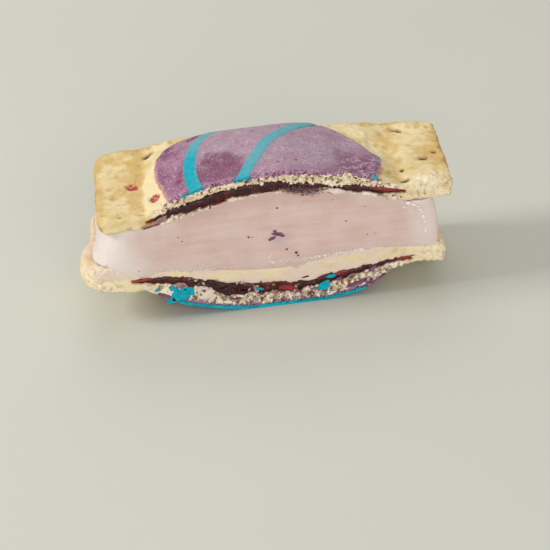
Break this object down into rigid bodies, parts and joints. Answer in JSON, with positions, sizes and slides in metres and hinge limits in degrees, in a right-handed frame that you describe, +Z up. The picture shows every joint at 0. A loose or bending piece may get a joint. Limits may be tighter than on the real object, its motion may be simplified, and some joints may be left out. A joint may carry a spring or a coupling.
{
  "type": "frosted pastry ice cream sandwich slice",
  "caption": "Cut slice of an ice cream sandwich: two bowed jam-filled pastries with purple icing and teal drizzle round a thick layer of pale pink ice cream.",
  "frame": {"origin": "on the flat spot of the lower icing that the slice rests on, under the middle of the slice", "axes": "+X along the cut face from left to right as seen facing the cut, -Y out of the cut face, +Z up"},
  "size_m": [0.0805, 0.0295, 0.0331],
  "materials": {
    "top_icing": "purple icing, frosted haze, teal drizzle",
    "top_crust": "dry baked pastry",
    "top_jam": "dark sticky jam",
    "ice_cream": "knife-cut frozen cream, slightly wet",
    "bottom_crust": "dry baked pastry",
    "bottom_jam": "dark sticky jam",
    "bottom_icing": "purple icing, teal drizzle"
  },
  "bodies": {
    "root": {"top_icing": "top_icing", "top_crust": "top_crust", "top_jam": "top_jam", "ice_cream": "ice_cream", "bottom_crust": "bottom_crust", "bottom_jam": "bottom_jam", "bottom_icing": "bottom_icing"}
  },
  "joints": []
}
